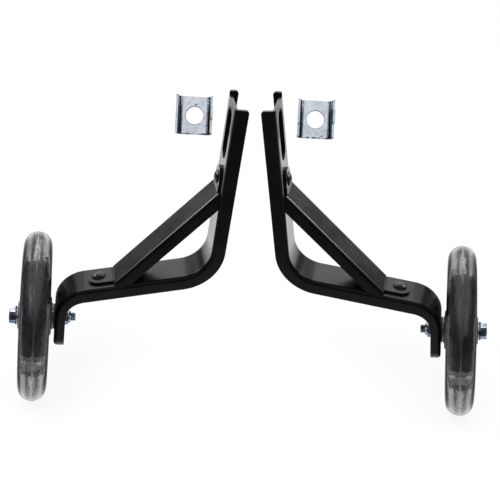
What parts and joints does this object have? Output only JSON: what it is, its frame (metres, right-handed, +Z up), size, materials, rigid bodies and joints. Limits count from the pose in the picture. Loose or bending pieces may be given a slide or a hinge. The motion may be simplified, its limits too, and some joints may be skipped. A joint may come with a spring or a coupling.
{
  "type": "bicycle training wheels",
  "caption": "Mirrored pair of bicycle training wheels: bent channel arms with riveted braces, axle slots, clear lit wheels on bolted axles, and loose axle plates.",
  "frame": {"origin": "on the ground, midway between the two wheels", "axes": "+X to the right unit, +Y to the back, +Z up"},
  "size_m": [0.3446, 0.1182, 0.2224],
  "materials": {
    "black_coat": "gloss black powder coat",
    "clear_tyre": "clear moulded plastic",
    "black_plastic": "black moulded plastic",
    "bush_plastic": "matt black plastic",
    "lamp_plastic": "clear and white lamp housing",
    "zinc": "bright zinc plate",
    "plate_zinc": "bluish zinc plate with pits and scratches"
  },
  "bodies": {
    "frame": {"right_arm": "black_coat", "left_arm": "black_coat", "right_brace": "black_coat", "left_brace": "black_coat", "right_upper_rivet": "black_coat", "left_upper_rivet": "black_coat", "right_lower_rivet": "black_coat", "left_lower_rivet": "black_coat", "right_axle_sleeve": "zinc", "left_axle_sleeve": "zinc", "right_axle_bolt": "zinc", "left_axle_bolt": "zinc", "right_head_washer": "zinc", "left_head_washer": "zinc", "right_spacer_washer": "zinc", "left_spacer_washer": "zinc", "right_nut_washer": "zinc", "left_nut_washer": "zinc", "right_spring_washer": "zinc", "left_spring_washer": "zinc", "right_lock_nut": "zinc", "left_lock_nut": "zinc", "left_axle_plate": "plate_zinc", "right_axle_plate": "plate_zinc"},
    "left_wheel": {"left_tyre": "clear_tyre", "left_hub": "black_plastic", "left_outer_bush": "bush_plastic", "left_inner_bush": "bush_plastic", "left_light_module": "lamp_plastic"},
    "right_wheel": {"right_tyre": "clear_tyre", "right_hub": "black_plastic", "right_outer_bush": "bush_plastic", "right_inner_bush": "bush_plastic", "right_light_module": "lamp_plastic"}
  },
  "joints": [
    {"name": "left_wheel_spin", "type": "hinge", "parent": "frame", "child": "left_wheel", "pos_m": [-0.15126, 0, 0.05964], "axis": [-0.9755, -0.1843, 0.1201], "continuous": true},
    {"name": "right_wheel_spin", "type": "hinge", "parent": "frame", "child": "right_wheel", "pos_m": [0.15126, 0, 0.05964], "axis": [0.9755, -0.1843, 0.1201], "continuous": true}
  ]
}
